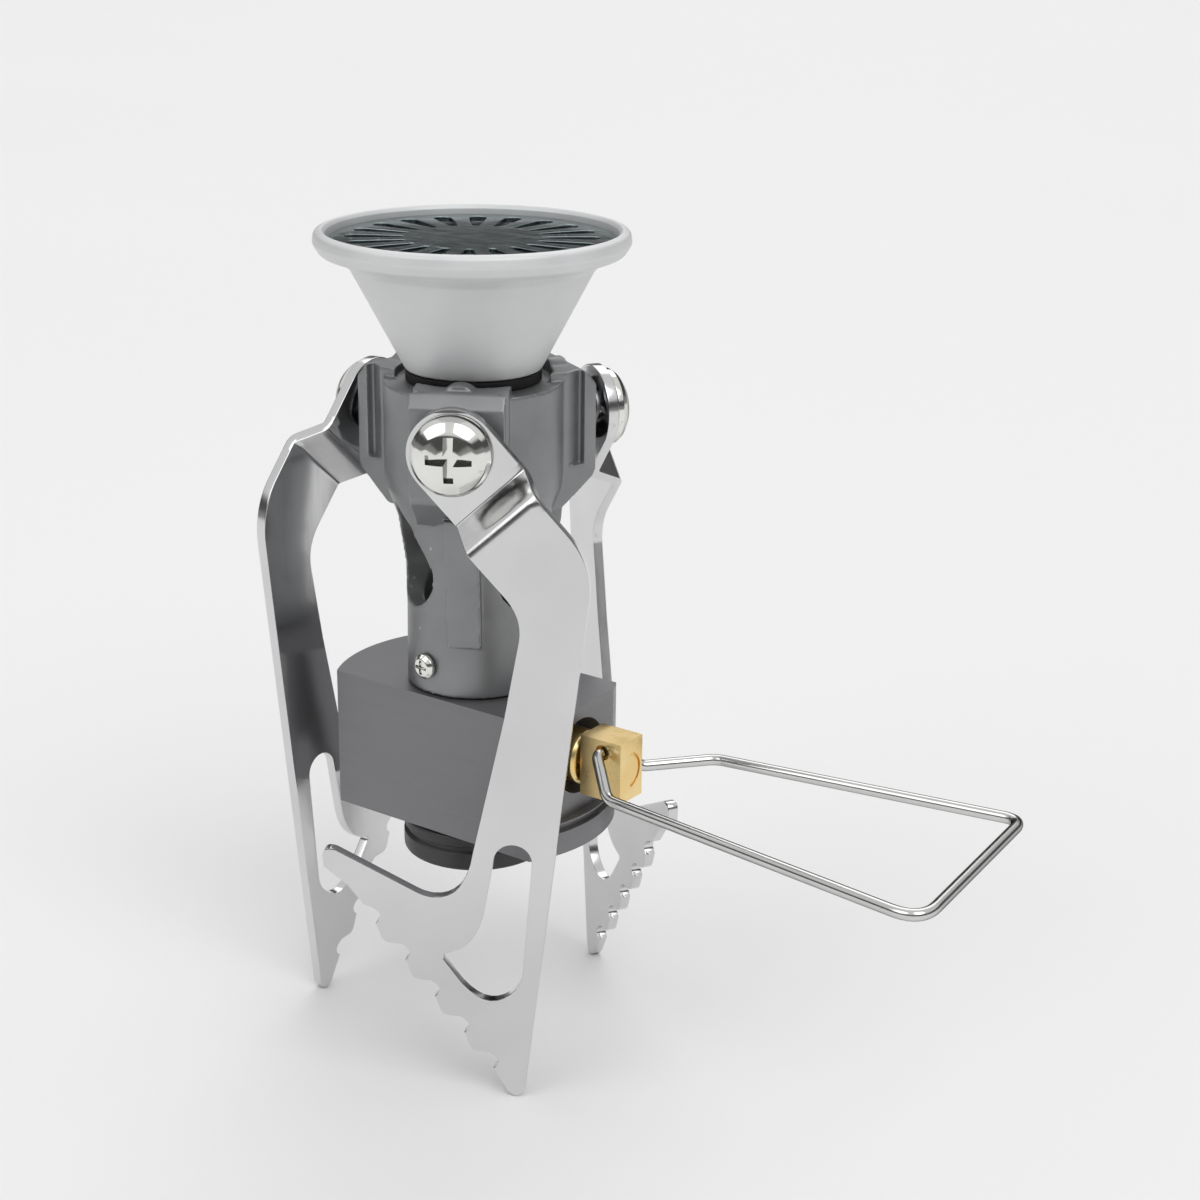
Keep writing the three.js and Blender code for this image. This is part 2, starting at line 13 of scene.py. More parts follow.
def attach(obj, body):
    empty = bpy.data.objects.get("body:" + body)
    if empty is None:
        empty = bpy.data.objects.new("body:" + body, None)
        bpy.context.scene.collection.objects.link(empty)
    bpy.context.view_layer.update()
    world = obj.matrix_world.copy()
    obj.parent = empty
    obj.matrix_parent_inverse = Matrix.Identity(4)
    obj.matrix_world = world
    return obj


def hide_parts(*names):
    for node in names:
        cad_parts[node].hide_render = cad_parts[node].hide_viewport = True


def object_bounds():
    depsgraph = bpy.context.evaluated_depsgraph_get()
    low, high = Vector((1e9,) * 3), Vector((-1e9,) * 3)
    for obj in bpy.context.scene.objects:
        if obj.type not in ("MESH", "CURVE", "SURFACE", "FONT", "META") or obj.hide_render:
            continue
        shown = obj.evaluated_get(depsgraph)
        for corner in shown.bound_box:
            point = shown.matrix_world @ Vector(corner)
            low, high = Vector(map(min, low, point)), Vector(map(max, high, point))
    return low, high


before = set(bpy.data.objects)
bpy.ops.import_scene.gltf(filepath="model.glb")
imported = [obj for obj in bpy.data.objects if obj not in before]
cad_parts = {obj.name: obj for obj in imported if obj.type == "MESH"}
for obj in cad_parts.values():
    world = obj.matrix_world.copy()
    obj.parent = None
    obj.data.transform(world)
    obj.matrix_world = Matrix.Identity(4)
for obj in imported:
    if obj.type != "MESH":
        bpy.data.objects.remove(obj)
cad_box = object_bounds()

MM = 0.001
SHARP_ANGLE = math.radians(35)
ARM_AZIMUTHS = (-60, 60, 180)
AIR_HOLE_AZIMUTHS = (-120, 0, 120)

COLLAR_RADIUS = 10.1
COLLAR_HEIGHT = 4.9
COLLAR_NECK_RADIUS = 8.6
COLLAR_TOP = 10.2
THREAD_RADIUS = 5.6
THREAD_DEPTH = 7.2
THREAD_PITCH = 0.907

BLOCK_RADIUS = 19.2
BLOCK_HALF_WIDTH = 9.7
BLOCK_BOTTOM = 5.1
BLOCK_TOP = 24.5
END_FLAT_X = 17.8
END_FLAT_BOTTOM = 9.6
SPINDLE_Z = 17.4
PORT_RADIUS = 5.2
# Radius, low end, high end and segments of each bore, from the mouth inward.
PORT_STEPS = ((PORT_RADIUS, 13.6, 30, 96), (4.1, 8.0, 14, 64), (3.5, 4.6, 9, 48), (2.1, -1.2, 5, 32))
PASSAGE_RADIUS = 1.6
GLAND_RADIUS = 3.7
GLAND_BORE = 1.9
SPINDLE_RADIUS = 1.6

TUBE_BOTTOM = 24.8
TUBE_RADIUS = 9.2
TUBE_BORE = 6.8
HEAD_RADIUS = 11.8
HEAD_TOP = 66.0
ARM_TOP = 67.2
PAD_RADIUS = 14.8
PAD_HALF_WIDTH = 6.1
PAD_BOTTOM = 52.9
PIVOT_Z = 60.6
SOCKET_RADIUS = 8.4
SOCKET_FLOOR = 59.0
ARM_BOTTOM = 48.8
RIB_BOTTOM = 32
RIB_HALF_WIDTH = 2.2
HUMP_RADIUS = 2.6
POCKET_DEPTH = 1.3
POCKET_INNER = 10.4
POCKET_OUTER = 13.1
AIR_HOLE_RADIUS = 5.1
AIR_HOLE_Z = 41.2
AIR_HOLE_TIP = 50.6
SEAT_RADIUS = 10.2
TUBE_SCREW_Z = 28.6
TUBE_SCREW_AZIMUTH = -96
CASTING_VOXEL = 0.2

CUP_BOTTOM = 67.6
CUP_BASE_RADIUS = 8.9
LIP_RADIUS = 20.4
LIP_TOP = 85.7
PLATE_RADIUS = 18.3
PLATE_TOP = 84.5
PLATE_SLOTS = 20
# Inside this radius the inner wall of the lip gets a near-black painted shade.
PAINTED_SHADE_RADIUS = 19.0

SHEET = 1.5
SHEET_INNER = 16.8
JOGGLE = 4.6
JOGGLE_MIDDLE = 9.0
JOGGLE_SLOPE = math.radians(58)
JOGGLE_BEND = 1.25
BEND_ZONE_START = 6.0
BEND_ZONE_LENGTH = 6.2
BEND_LINES = 29
LEG_ANGLE = math.radians(-48)
LEG_HALF_WIDTH = 5.8
TOOTH_STEP = Vector((3.87, -5.13))
TOOTH_NOTCHES = 5
SCREW_HEAD_RADIUS = 5.1
SCREW_HEAD_BASE = 18.6
SCREW_SHANK_RADIUS = 1.7
SCREW_CLEARANCE = 0.3
FLAT_FACE = 0.97

KNOB_BACK_X = 19.5
KNOB_FRONT_X = 25.9
KNOB_HALF_WIDTH = 2.5
KNOB_HALF_HEIGHT = 4.2
MARK_RADIUS = 2.3
MARK_DEPTH = 0.35
HANDLE_X = 23.0
HANDLE_RISE = 2.5
HANDLE_DROP = 4.0
REST_FOLD = math.radians(-2)
WIRE_RADIUS = 0.75

FLOOR_HALF_SIDE = 3000
FLOOR_THICKNESS = 20
FLOOR_GAP = 0.02
CAMERA_PLACE = Vector((177.4, -221.2, 133.0))
CAMERA_AIM = Vector((13.7, 9.7, 35.7))
CAMERA_ROLL = math.radians(0.69)
CAMERA_LENS = 66.7
SUN_SPREAD = 40
SKY_STRENGTH = 0.75
SKY_LEVELS = ((0.0, 0.35), (0.1, 0.3), (0.16, 0.1), (0.34, 0.1), (0.44, 0.95), (1.0, 1.0))


# ---------------------------------------------------------------- transforms
def azimuth_turn(azimuth):
    return Matrix.Rotation(math.radians(azimuth), 4, "Z")


def outward(height, azimuth=0.0):
    """A frame whose Z runs radially outward, with its origin on the stove axis at a height."""
    return azimuth_turn(azimuth) @ Matrix.Translation((0, 0, height)) @ Matrix.Rotation(math.pi / 2, 4, "Y")


def facing_out(height, azimuth):
    """X to the right seen from outside, Y up and Z outward, about a point on the stove axis."""
    basis = Matrix(((0, 0, 1, 0), (1, 0, 0, 0), (0, 1, 0, 0), (0, 0, 0, 1)))
    return azimuth_turn(azimuth) @ Matrix.Translation((0, 0, height)) @ basis


KNOB_FRAME = Matrix.Translation((0, 0, SPINDLE_Z))
HINGE_PLACE = Matrix.Translation((HANDLE_X, 0, HANDLE_RISE))
HANDLE_FRAME = KNOB_FRAME @ HINGE_PLACE @ Matrix.Rotation(REST_FOLD, 4, "Y")


# ---------------------------------------------------------------- mesh helpers
def fillet(points, radii, steps=4, closed=True):
    """Rounds the corners of a polyline. radii is one number or one for each point."""
    if not hasattr(radii, "__len__"):
        radii = [radii] * len(points)
    corners = [Vector(p) for p in points]
    count = len(corners)
    result = []
    for i, corner in enumerate(corners):
        inner = closed or 0 < i < count - 1
        radius = radii[i] if inner else 0
        if radius <= 0:
            result.append(corner)
            continue
        back = corners[i - 1] - corner
        ahead = corners[(i + 1) % count] - corner
        angle = back.angle(ahead)
        if angle > math.pi - 0.02:
            result.append(corner)
            continue
        reach = min(radius / math.tan(angle / 2), back.length * 0.49, ahead.length * 0.49)
        start = corner + back.normalized() * reach
        end = corner + ahead.normalized() * reach
        for k in range(steps + 1):
            t = k / steps
            result.append(start * (1 - t) ** 2 + corner * 2 * t * (1 - t) + end * t * t)
    return result


def new_object(name, mesh):
    obj = bpy.data.objects.new(name, mesh)
    bpy.context.scene.collection.objects.link(obj)
    return obj


def from_bmesh(name, bm):
    bmesh.ops.recalc_face_normals(bm, faces=bm.faces)
    mesh = bpy.data.meshes.new(name)
    bm.to_mesh(mesh)
    bm.free()
    return new_object(name, mesh)


def turned(name, profile, segments=96, matrix=None):
    """Turns a [radius, height] profile about Z. It closes on itself, or both ends lie on the axis."""
    bm = bmesh.new()
    open_ended = abs(profile[0][0]) < 1e-6 and abs(profile[-1][0]) < 1e-6
    rows = []
    for radius, height in profile:
        if radius < 1e-6:
            rows.append([bm.verts.new((0, 0, height))])
            continue
        row = []
        for k in range(segments):
            angle = 2 * math.pi * k / segments
            row.append(bm.verts.new((radius * math.cos(angle), radius * math.sin(angle), height)))
        rows.append(row)
    pairs = list(zip(rows, rows[1:]))
    if not open_ended:
        pairs.append((rows[-1], rows[0]))
    for low, high in pairs:
        for k in range(segments):
            n = k + 1
            corners = [low[k % len(low)], low[n % len(low)], high[n % len(high)], high[k % len(high)]]
            unique = list(dict.fromkeys(corners))
            if len(unique) > 2:
                bm.faces.new(unique)
    obj = from_bmesh(name, bm)
    if matrix is not None:
        obj.data.transform(matrix)
    return obj


def prism(name, outline, low, high, matrix=None):
    """A closed solid from a flat outline, between two heights."""
    bm = bmesh.new()
    bottom = [bm.verts.new((p[0], p[1], low)) for p in outline]
    top = [bm.verts.new((p[0], p[1], high)) for p in outline]
    bm.faces.new(bottom)
    bm.faces.new(top)
    for k in range(len(outline)):
        n = (k + 1) % len(outline)
        bm.faces.new((bottom[k], bottom[n], top[n], top[k]))
    obj = from_bmesh(name, bm)
    if matrix is not None:
        obj.data.transform(matrix)
    return obj


def rod(name, radius, low, high, segments=64, matrix=None):
    return turned(name, [(0, low), (radius, low), (radius, high), (0, high)], segments, matrix)


def circle(radius, segments):
    step = 2 * math.pi / segments
    return [Vector((radius * math.cos(k * step), radius * math.sin(k * step))) for k in range(segments)]


def plate(name, outline, holes, thickness, edge):
    """A flat sheet with holes and softly rounded edges, centred on z = 0."""
    curve = bpy.data.curves.new(name, "CURVE")
    curve.dimensions = "2D"
    curve.fill_mode = "BOTH"
    curve.extrude = thickness / 2 - edge
    curve.bevel_depth = edge
    curve.bevel_resolution = 1
    curve.offset = -edge
    for ring in [outline, *holes]:
        spline = curve.splines.new("POLY")
        spline.points.add(len(ring) - 1)
        for point, place in zip(spline.points, ring):
            point.co = (place[0], place[1], 0, 1)
        spline.use_cyclic_u = True
    holder = new_object(name + "_curve", curve)
    graph = bpy.context.evaluated_depsgraph_get()
    mesh = bpy.data.meshes.new_from_object(holder.evaluated_get(graph))
    bpy.data.objects.remove(holder)
    bm = bmesh.new()
    bm.from_mesh(mesh)
    bpy.data.meshes.remove(mesh)
    bmesh.ops.remove_doubles(bm, verts=bm.verts, dist=1e-4)
    return from_bmesh(name, bm)


def applied(obj):
    """Bakes an object's modifiers into its mesh."""
    graph = bpy.context.evaluated_depsgraph_get()
    mesh = bpy.data.meshes.new_from_object(obj.evaluated_get(graph))
    old = obj.data
    obj.modifiers.clear()
    obj.data = mesh
    bpy.data.meshes.remove(old)
    return obj


def combine(obj, tool, operation):
    """Joins or cuts with another solid, which is used up."""
    modifier = obj.modifiers.new("combine", "BOOLEAN")
    modifier.operation = operation
    modifier.solver = "MANIFOLD"
    modifier.object = tool
    applied(obj)
    bpy.data.objects.remove(tool)
    return obj


def add(obj, tool):
    return combine(obj, tool, "UNION")


def cut(obj, tool):
    return combine(obj, tool, "DIFFERENCE")


def bevelled(obj, width, segments=3, angle=32):
    modifier = obj.modifiers.new("bevel", "BEVEL")
    modifier.width = width
    modifier.segments = segments
    modifier.limit_method = "ANGLE"
    modifier.angle_limit = math.radians(angle)
    modifier.use_clamp_overlap = True
    return applied(obj)


def finished(obj, body, node, materials):
    """Scales a piece to metres, shades it and puts it on its body in place of its CAD node."""
    obj.data.transform(Matrix.Scale(MM, 4))
    mesh = obj.data
    mesh.polygons.foreach_set("use_smooth", [True] * len(mesh.polygons))
    mesh.set_sharp_from_angle(angle=SHARP_ANGLE)
    weighted = obj.modifiers.new("weighted", "WEIGHTED_NORMAL")
    weighted.keep_sharp = True
    weighted.weight = 80
    mesh.materials.clear()
    for material in materials:
        mesh.materials.append(material)
    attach(obj, body)
    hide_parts(node)
    return obj


# ---------------------------------------------------------------- materials
class Nodes:
    """A short way to write a material's node tree."""

    def __init__(self, name, colour, metallic, roughness):
        self.material = bpy.data.materials.new(name)
        self.material.use_nodes = True
        self.tree = self.material.node_tree
        self.shader = self.tree.nodes["Principled BSDF"]
        self.shader.inputs["Metallic"].default_value = metallic
        self.shader.inputs["Roughness"].default_value = roughness
        self.shader.inputs["Base Color"].default_value = (*colour, 1)
        self.place = self.add("ShaderNodeTexCoord").outputs["Object"]

    def add(self, kind, **settings):
        node = self.tree.nodes.new(kind)
        for key, value in settings.items():
            setattr(node, key, value)
        return node

    def link(self, source, target):
        self.tree.links.new(source, target)

    def stretched(self, scale):
        mapping = self.add("ShaderNodeMapping")
        mapping.inputs["Scale"].default_value = scale
        self.link(self.place, mapping.inputs["Vector"])
        return mapping.outputs["Vector"]

    def noise(self, scale, detail, stretch=(1, 1, 1)):
        node = self.add("ShaderNodeTexNoise")
        node.inputs["Scale"].default_value = scale
        node.inputs["Detail"].default_value = detail
        self.link(self.stretched(stretch), node.inputs["Vector"])
        return node.outputs["Fac"]

    def ramp(self, source, low, high, from_low=0.3, from_high=0.7):
        node = self.add("ShaderNodeMapRange")
        node.inputs["From Min"].default_value = from_low
        node.inputs["From Max"].default_value = from_high
        node.inputs["To Min"].default_value = low
        node.inputs["To Max"].default_value = high
        self.link(source, node.inputs["Value"])
        return node.outputs["Result"]

    def blend(self, factor, first, second):
        node = self.add("ShaderNodeMix", data_type="RGBA")
        self.link(factor, node.inputs["Factor"])
        node.inputs["A"].default_value = (*first, 1)
        node.inputs["B"].default_value = (*second, 1)
        return node.outputs["Result"]

    def over(self, factor, first, second):
        """Mixes a second plain colour over a linked first colour."""
        node = self.add("ShaderNodeMix", data_type="RGBA")
        self.link(factor, node.inputs["Factor"])
        self.link(first, node.inputs["A"])
        node.inputs["B"].default_value = (*second, 1)
        return node.outputs["Result"]

    def bump(self, height, strength, distance, normal=None):
        node = self.add("ShaderNodeBump")
        node.inputs["Strength"].default_value = strength
        node.inputs["Distance"].default_value = distance
        self.link(height, node.inputs["Height"])
        if normal is not None:
            self.link(normal, node.inputs["Normal"])
        return node.outputs["Normal"]

    def set(self, name, source):
        self.link(source, self.shader.inputs[name])

    def edges(self, low, high):
        """Close to 1 on convex edges, where a painted highlight lightens the metal."""
        geometry = self.add("ShaderNodeNewGeometry")
        return self.ramp(geometry.outputs["Pointiness"], 0, 1, low, high)


def cast_aluminium():
    m = Nodes("cast_aluminium", (0.28, 0.285, 0.29), 0.75, 0.45)
    cloud = m.noise(120, 3)
    grain = m.noise(2600, 2)
    colour = m.blend(m.ramp(cloud, 0, 1), (0.235, 0.24, 0.245), (0.31, 0.315, 0.32))
    # Convex edges get a painted highlight: a pale grey mixed in by pointiness.
    m.set("Base Color", m.over(m.edges(0.53, 0.66), colour, (0.5, 0.505, 0.51)))
    m.set("Roughness", m.ramp(cloud, 0.36, 0.5))
    coarse = m.bump(m.noise(420, 3), 0.4, 0.00008)
    m.set("Normal", m.bump(grain, 0.3, 0.00002, coarse))
    return m.material


def anodised(name, colour, lighter, roughness):
    m = Nodes(name, colour, 0.6, roughness)
    cloud = m.noise(90, 3)
    tooling = m.noise(1500, 3, (0.06, 0.06, 1))
    blended = m.blend(m.ramp(cloud, 0, 1), colour, lighter)
    # Convex edges get a painted highlight: 2.2 times the lighter tone, mixed in by pointiness.
    m.set("Base Color", m.over(m.edges(0.54, 0.66), blended, tuple(2.2 * c for c in lighter)))
    m.set("Roughness", m.ramp(tooling, roughness - 0.05, roughness + 0.08))
    m.set("Normal", m.bump(tooling, 0.1, 0.00002))
    return m.material


def blasted_aluminium():
    m = Nodes("blasted_aluminium", (0.70, 0.705, 0.71), 0.3, 0.55)
    grain = m.noise(3200, 2)
    cloud = m.noise(160, 3)
    m.set("Base Color", m.blend(m.ramp(cloud, 0, 1), (0.68, 0.685, 0.69), (0.73, 0.735, 0.74)))
    m.set("Roughness", m.ramp(cloud, 0.44, 0.56))
    m.set("Normal", m.bump(grain, 0.35, 0.00003))
    return m.material


def flame_steel():
    m = Nodes("flame_steel", (0.22, 0.27, 0.29), 1.0, 0.3)
    cloud = m.noise(90, 3)
    m.set("Base Color", m.blend(m.ramp(cloud, 0, 1), (0.17, 0.215, 0.225), (0.28, 0.33, 0.335)))
    m.set("Roughness", m.ramp(m.noise(500, 3), 0.16, 0.26))
    m.set("Normal", m.bump(m.noise(900, 3), 0.08, 0.00002))
    return m.material


def stainless(name, colour, roughness, grain_scale):
    m = Nodes(name, colour, 1.0, roughness)
    lines = m.noise(grain_scale, 3, (1, 1, 0.04))
    cloud = m.noise(60, 3)
    darker = tuple(0.9 * c for c in colour)
    m.set("Base Color", m.blend(m.ramp(cloud, 0, 1), darker, colour))
    m.set("Roughness", m.ramp(lines, roughness * 0.85, roughness * 1.2))
    m.set("Normal", m.bump(lines, 0.03, 0.00001))
    return m.material


def bright_plate(name, colour, roughness, rim_tint):
    m = Nodes(name, colour, 1.0, roughness)
    m.shader.inputs["Specular Tint"].default_value = (rim_tint, rim_tint, rim_tint, 1)
    marks = m.noise(900, 4)
    m.set("Roughness", m.ramp(marks, roughness, roughness + 0.08))
    m.set("Base Color", m.blend(m.ramp(m.noise(200, 2), 0, 1), tuple(0.92 * c for c in colour), colour))
    m.set("Normal", m.bump(marks, 0.05, 0.00002))
    return m.material


def brass():
    m = Nodes("turned_brass", (0.82, 0.58, 0.22), 1.0, 0.25)
    tarnish = m.noise(260, 4)
    milling = m.noise(2400, 2, (1, 0.1, 1))
    m.set("Base Color", m.blend(m.ramp(tarnish, 0, 1), (0.84, 0.60, 0.25), (0.94, 0.73, 0.36)))
    m.set("Roughness", m.ramp(tarnish, 0.22, 0.34))
    m.set("Normal", m.bump(milling, 0.06, 0.00001))
    return m.material


def black_rubber():
    m = Nodes("black_rubber", (0.012, 0.012, 0.012), 0.0, 0.6)
    m.shader.inputs["Specular IOR Level"].default_value = 0.2
    dust = m.noise(500, 4)
    m.set("Base Color", m.blend(m.ramp(dust, 0, 1), (0.008, 0.008, 0.008), (0.02, 0.02, 0.02)))
    m.set("Roughness", m.ramp(dust, 0.5, 0.7))
    m.set("Normal", m.bump(dust, 0.1, 0.00003))
    return m.material


CAST = cast_aluminium()
BLOCK = anodised("anodised_block", (0.075, 0.075, 0.078), (0.095, 0.095, 0.099), 0.36)
COLLAR = anodised("anodised_collar", (0.05, 0.05, 0.052), (0.065, 0.065, 0.068), 0.4)
CUP = blasted_aluminium()
# Near-black painted shade for the inner wall of the burner lip.
PAINTED_RIM_SHADE = anodised("painted_rim_shade", (0.014, 0.015, 0.016), (0.03, 0.031, 0.032), 0.35)
FLAME = flame_steel()
SUPPORT_FACE = stainless("support_face", (0.72, 0.72, 0.725), 0.16, 1800)
SUPPORT_BRIGHT = bright_plate("support_bright", (0.78, 0.78, 0.77), 0.05, 0.5)
WIRE = bright_plate("wire_steel", (0.68, 0.68, 0.67), 0.1, 0.15)
NICKEL = bright_plate("nickel_plate", (0.84, 0.84, 0.81), 0.06, 0.4)
SPRING = stainless("spring_steel", (0.22, 0.22, 0.23), 0.3, 1500)
BRASS = brass()
RUBBER = black_rubber()


# ---------------------------------------------------------------- canister coupling
def thread_profile(radius, low, high, depth):
    """A zigzag of ridges up a wall, from low to high. Positive depth cuts outward."""
    points = []
    turns = int((high - low) / THREAD_PITCH)
    for k in range(turns):
        base = low + k * THREAD_PITCH
        points.append((radius, base + 0.1 * THREAD_PITCH))
        points.append((radius + depth, base + 0.5 * THREAD_PITCH))
        points.append((radius, base + 0.9 * THREAD_PITCH))
    return points


def canister_collar():
    rim = 0.5
    wall = thread_profile(THREAD_RADIUS, 0.9, THREAD_DEPTH - 0.5, 0.45)
    outside = fillet([
        (THREAD_RADIUS, rim), (THREAD_RADIUS + rim, 0), (COLLAR_RADIUS, 0), (COLLAR_RADIUS, 2.5),
        (COLLAR_RADIUS - 0.5, 2.8), (COLLAR_RADIUS - 0.5, 3.3), (COLLAR_RADIUS, 3.6),
        (COLLAR_RADIUS, COLLAR_HEIGHT), (COLLAR_NECK_RADIUS, COLLAR_HEIGHT),
        (COLLAR_NECK_RADIUS, COLLAR_TOP), (PASSAGE_RADIUS, COLLAR_TOP),
        (PASSAGE_RADIUS, THREAD_DEPTH + 1.6), (3.4, THREAD_DEPTH + 1.6), (3.4, THREAD_DEPTH),
        (THREAD_RADIUS, THREAD_DEPTH),
    ], [0.1, 0.2, 0.6, 0.12, 0.12, 0.12, 0.12, 0.3, 0, 0, 0, 0, 0, 0.1, 0])
    profile = [tuple(p) for p in outside] + wall[::-1]
    return turned("collar", profile, 128)


def canister_seal():
    low = THREAD_DEPTH - 1.6
    high = THREAD_DEPTH - 0.2
    outline = fillet([(2.0, low), (4.9, low), (4.9, high), (2.0, high)], 0.55, 5)
    return turned("seal", outline, 80)


def valve_pin():
    tip = THREAD_DEPTH - 2.6
    outline = fillet([
        (0, tip), (1.1, tip), (1.1, THREAD_DEPTH + 0.2), (2.9, THREAD_DEPTH + 0.2),
        (2.9, THREAD_DEPTH + 1.2), (0, THREAD_DEPTH + 1.2),
    ], [0, 0.35, 0.15, 0.2, 0.15, 0], 4, False)
    return turned("pin", outline, 48)


def filter_screen():
    outline = fillet([
        (0, COLLAR_TOP + 0.2), (3.0, COLLAR_TOP + 0.2), (3.0, COLLAR_TOP + 0.6), (0, COLLAR_TOP + 0.6),
    ], 0.12, 3, False)
    return turned("screen", outline, 48)


# ---------------------------------------------------------------- valve body
def valve_body():
    w = BLOCK_HALF_WIDTH
    reach = math.sqrt(BLOCK_RADIUS ** 2 - w ** 2)
    end = math.atan2(w, reach)
    outline = []
    arc_steps = 40
    for start in (-end, math.pi - end):
        for k in range(arc_steps + 1):
            angle = start + 2 * end * k / arc_steps
            outline.append((BLOCK_RADIUS * math.cos(angle), BLOCK_RADIUS * math.sin(angle)))
    body = prism("block", outline, BLOCK_BOTTOM, BLOCK_TOP)
    flat = prism("flat", [(END_FLAT_X, -30), (40, -30), (40, 30), (END_FLAT_X, 30)], END_FLAT_BOTTOM, 60)
    cut(body, flat)
    groove = turned("groove", [
        (BLOCK_RADIUS - 0.8, END_FLAT_BOTTOM - 1.4), (40, END_FLAT_BOTTOM - 1.4),
        (40, END_FLAT_BOTTOM - 0.2), (BLOCK_RADIUS - 0.8, END_FLAT_BOTTOM - 0.2),
    ], 200)
    keep = prism("keep", [(0, -30), (60, -30), (60, 30), (0, 30)], 0, 30)
    cut(body, combine(groove, keep, "INTERSECT"))
    cut(body, rod("bore", COLLAR_NECK_RADIUS + 0.3, 0, COLLAR_TOP + 0.9, 96))
    cut(body, rod("passage", PASSAGE_RADIUS, COLLAR_TOP, 22, 32))
    cut(body, rod("jet_seat", 2.7, 19.8, 30, 48))
    spindle = outward(SPINDLE_Z)
    for radius, low, high, segments in PORT_STEPS:
        cut(body, rod("port", radius, low, high, segments, spindle))
    cut(body, rod("vent", 1.1, -30, -16, 32, outward(SPINDLE_Z - 2.6)))
    return bevelled(body, 0.42, 3, 40)


def gas_jet():
    top = BLOCK_TOP + 2.4
    stem = turned("jet", fillet([
        (0.4, 20.2), (2.3, 20.2), (2.3, top), (1.2, top + 0.9), (0.4, top + 0.9),
    ], [0, 0.2, 0.15, 0.15, 0], 3), 48)
    hexagon = prism("hexagon", circle(3.7, 6), BLOCK_TOP + 0.3, top - 0.2)
    cut(hexagon, rod("hole", 1.9, 20, 30, 32))
    return bevelled(add(stem, hexagon), 0.12, 2)


# ---------------------------------------------------------------- spindle and handle
def gland_nut():
    groove = 15.4
    outline = fillet([
        (GLAND_BORE, 8.3), (GLAND_RADIUS, 8.3), (GLAND_RADIUS, groove), (3.3, groove + 0.3),
        (3.3, groove + 0.9), (GLAND_RADIUS, groove + 1.2), (GLAND_RADIUS, 18.7), (3.3, 19.1),
        (GLAND_BORE, 19.1),
    ], [0, 0.2, 0.1, 0.1, 0.1, 0.1, 0.15, 0.15, 0.2], 3)
    return turned("gland", outline, 96, outward(SPINDLE_Z))


def spindle_o_ring():
    outline = fillet([(GLAND_BORE, 5.4), (3.2, 5.4), (3.2, 7.2), (GLAND_BORE, 7.2)], 0.6, 5)
    return turned("o_ring", outline, 64, outward(SPINDLE_Z))


def valve_spindle():
    outline = fillet([
        (0, 1.9), (0.3, 2.0), (SPINDLE_RADIUS, 4.6), (SPINDLE_RADIUS, KNOB_BACK_X + 1.0),
        (0, KNOB_BACK_X + 1.0),
    ], [0, 0.1, 0.2, 0.2, 0], 3, False)
    return turned("spindle", outline, 48, outward(SPINDLE_Z))


def knob_block():
    w = KNOB_HALF_WIDTH
    h = KNOB_HALF_HEIGHT
    outline = [(-h, -w), (h, -w), (h, w), (-h, w)]
    turn = Matrix.Rotation(math.pi / 2, 4, "Y")
    block = prism("knob", outline, KNOB_BACK_X, KNOB_FRONT_X, turn)
    cut(block, rod("blind", 1.9, KNOB_BACK_X - 1, KNOB_BACK_X + 1.3, 48, turn))
    hinge = HINGE_PLACE @ Matrix.Rotation(math.pi / 2, 4, "X")
    cut(block, rod("hinge", WIRE_RADIUS + 0.3, -10, 10, 48, hinge))
    floor_x = KNOB_FRONT_X - MARK_DEPTH
    inner = MARK_RADIUS - 0.22
    outer = MARK_RADIUS + 0.22
    mark = turned("mark", [(inner, floor_x), (outer, floor_x), (outer, 30), (inner, 30)], 64, turn)
    mark.data.transform(Matrix.Translation((0, -0.5, 0)))
    half = prism("half", [(20, -0.1), (40, -0.1), (40, 5), (20, 5)], -5, 5)
    cut(block, combine(mark, half, "INTERSECT"))
    bevelled(block, 0.28, 3)
    block.data.transform(KNOB_FRAME)
    return block


def wire_handle():
    stub = 1.1
    neck = KNOB_HALF_WIDTH + 1.2
    low = -HANDLE_DROP
    corners = [
        (0, -stub, 0), (0, -neck, 0), (4.1, -7.3, low), (54.0, -16.4, low), (51.2, 15.7, low),
        (8.2, 12.1, low), (0.9, neck + 0.6, low), (0, neck, 0), (0, stub, 0),
    ]
    centre = fillet(corners, [0, 1.4, 3.0, 3.4, 2.6, 3.2, 1.6, 1.4, 0], 10, False)
    bm = bmesh.new()
    sides = 20
    rings = []
    across = Vector((0, 0, 1))
    for i, point in enumerate(centre):
        before = centre[max(i - 1, 0)]
        after = centre[min(i + 1, len(centre) - 1)]
        ahead = (after - before).normalized()
        across = (across - ahead * across.dot(ahead)).normalized()
        beside = ahead.cross(across)
        radius = WIRE_RADIUS - (0.18 if i in (0, len(centre) - 1) else 0)
        ring = []
        for k in range(sides):
            angle = 2 * math.pi * k / sides
            ring.append(bm.verts.new(point + radius * (across * math.cos(angle) + beside * math.sin(angle))))
        rings.append(ring)
    for first, second in zip(rings, rings[1:]):
        for k in range(sides):
            n = (k + 1) % sides
            bm.faces.new((first[k], first[n], second[n], second[k]))
    bm.faces.new(rings[0])
    bm.faces.new(rings[-1])
    wire = from_bmesh("handle", bm)
    wire.data.transform(HANDLE_FRAME)
    return wire


# ---------------------------------------------------------------- bracket casting
def teardrop(centre, radius, tip):
    steps = 40
    lean = math.acos(radius / (tip - centre))
    points = [Vector((0, tip))]
    start = math.pi / 2 + lean
    sweep = 2 * math.pi - 2 * lean
    for k in range(steps + 1):
        angle = start + sweep * k / steps
        points.append(Vector((radius * math.cos(angle), centre + radius * math.sin(angle))))
    return points


